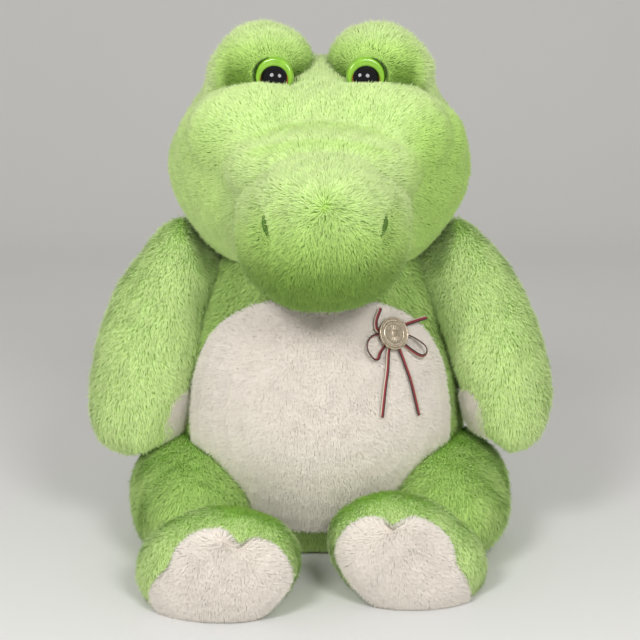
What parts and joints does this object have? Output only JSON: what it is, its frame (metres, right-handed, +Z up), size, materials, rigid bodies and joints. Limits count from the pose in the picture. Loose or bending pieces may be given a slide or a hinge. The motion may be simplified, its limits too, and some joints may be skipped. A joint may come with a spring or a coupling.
{
  "type": "plush crocodile",
  "caption": "Seated stuffed crocodile toy with a hanging snout, raised brow lobes, domed eyes, a pale belly and a ribbon brooch.",
  "frame": {"origin": "middle of the flat seat, on the surface that the toy sits on", "axes": "+Z up, the toy faces -Y, its own left side is +X"},
  "size_m": [0.3814, 0.4887, 0.43],
  "materials": {
    "green_plush": "soft pile",
    "white_plush": "soft pile",
    "green_plastic": "gloss",
    "black_plastic": "polished",
    "washer_plastic": "matte",
    "green_thread": "satin stitch",
    "pale_gold": "satin",
    "steel": "brushed",
    "red_ribbon": "woven"
  },
  "bodies": {
    "torso": {"body": "green_plush", "belly_panel": "white_plush", "seat_panel": "green_plush", "medal": "pale_gold", "brooch_bar": "steel", "brooch_needle": "steel", "ribbon_bow": "red_ribbon", "ribbon_tail_left": "red_ribbon", "ribbon_tail_right": "red_ribbon"},
    "head": {"head": "green_plush", "muzzle": "green_plush", "brow_left": "green_plush", "brow_right": "green_plush", "eye_left": "black_plastic", "eye_right": "black_plastic", "eye_washer_left": "washer_plastic", "eye_washer_right": "washer_plastic", "eyelid_left": "green_plastic", "eyelid_right": "green_plastic", "nostril_left": "green_thread", "nostril_right": "green_thread"},
    "arm_left": {"arm_left": "green_plush", "palm_left": "white_plush"},
    "arm_right": {"arm_right": "green_plush", "palm_right": "white_plush"},
    "leg_left": {"thigh_left": "green_plush", "foot_left": "green_plush", "sole_left": "white_plush"},
    "leg_right": {"thigh_right": "green_plush", "foot_right": "green_plush", "sole_right": "white_plush"},
    "tail": {"tail": "green_plush"}
  },
  "joints": [
    {"name": "neck_turn", "type": "hinge", "parent": "torso", "child": "head", "pos_m": [0, 0, 0.22], "axis": [0, 0, 1], "range_deg": [-20, 20], "stiffness_Nm_per_rad": 0.06},
    {"name": "shoulder_left_swing", "type": "hinge", "parent": "torso", "child": "arm_left", "pos_m": [0.08705, -0.006, 0.23], "axis": [-1, 0, 0], "range_deg": [0, 50], "stiffness_Nm_per_rad": 0.02},
    {"name": "shoulder_right_swing", "type": "hinge", "parent": "torso", "child": "arm_right", "pos_m": [-0.08705, -0.006, 0.23], "axis": [-1, 0, 0], "range_deg": [0, 50], "stiffness_Nm_per_rad": 0.02},
    {"name": "hip_left_splay", "type": "hinge", "parent": "torso", "child": "leg_left", "pos_m": [0.11355, 0.05056, 0.043], "axis": [0, 0, 1], "range_deg": [0, 8], "stiffness_Nm_per_rad": 0.05},
    {"name": "hip_right_splay", "type": "hinge", "parent": "torso", "child": "leg_right", "pos_m": [-0.11355, 0.05056, 0.043], "axis": [0, 0, -1], "range_deg": [0, 8], "stiffness_Nm_per_rad": 0.05},
    {"name": "tail_wag", "type": "hinge", "parent": "torso", "child": "tail", "pos_m": [0, 0.11395, 0.05], "axis": [0, 0, 1], "range_deg": [-15, 15], "stiffness_Nm_per_rad": 0.04}
  ]
}
